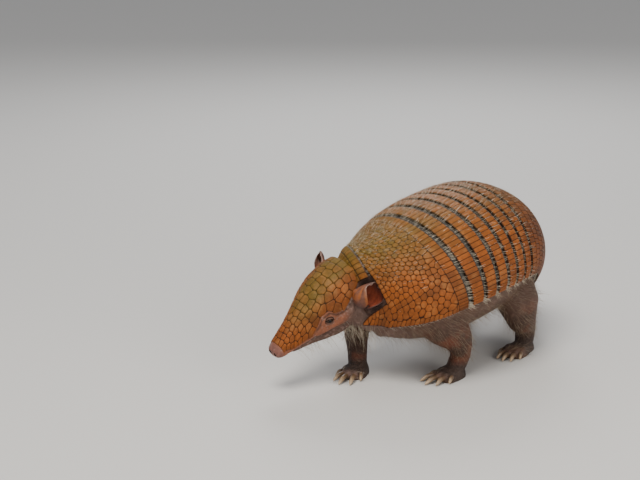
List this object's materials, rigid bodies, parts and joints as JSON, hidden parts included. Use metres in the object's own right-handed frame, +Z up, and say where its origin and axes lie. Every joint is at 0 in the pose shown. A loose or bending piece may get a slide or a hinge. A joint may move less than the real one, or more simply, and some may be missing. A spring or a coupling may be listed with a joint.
{
  "type": "six-banded armadillo",
  "caption": "Life-size still model of an adult armadillo walking with its head low, with a domed carapace of plates, short clawed legs and a tapering tail laid on the floor.",
  "frame": {"origin": "middle of the bounding box's footprint, on the floor the feet stand on", "axes": "x to the animal's left, y from the head towards the tail, z up from the floor"},
  "size_m": [0.2154, 0.5328, 0.211],
  "materials": {
    "scute": "semi-matte horn plates, orange-brown with dark seams",
    "skin": "matte creased skin, pinkish brown",
    "dark_skin": "matte grey-brown skin with small scales",
    "claw": "smooth pale horn",
    "eye": "wet dark brown eyeball",
    "hair": "sparse pale bristles"
  },
  "bodies": {
    "root": {"scapular_shield": "scute", "band_1": "scute", "band_2": "scute", "band_3": "scute", "band_4": "scute", "band_5": "scute", "band_6": "scute", "pelvic_shield": "scute", "nuchal_band": "scute", "head_shield": "scute", "trunk": "skin", "neck": "skin", "head": "skin", "lower_jaw": "skin", "ear_left": "skin", "ear_right": "skin", "eye_left": "eye", "eye_right": "eye", "foreleg_left": "dark_skin", "foreleg_right": "dark_skin", "hindleg_left": "dark_skin", "hindleg_right": "dark_skin", "tail_base": "dark_skin", "tail_middle": "dark_skin", "tail_tip": "dark_skin"}
  },
  "joints": []
}
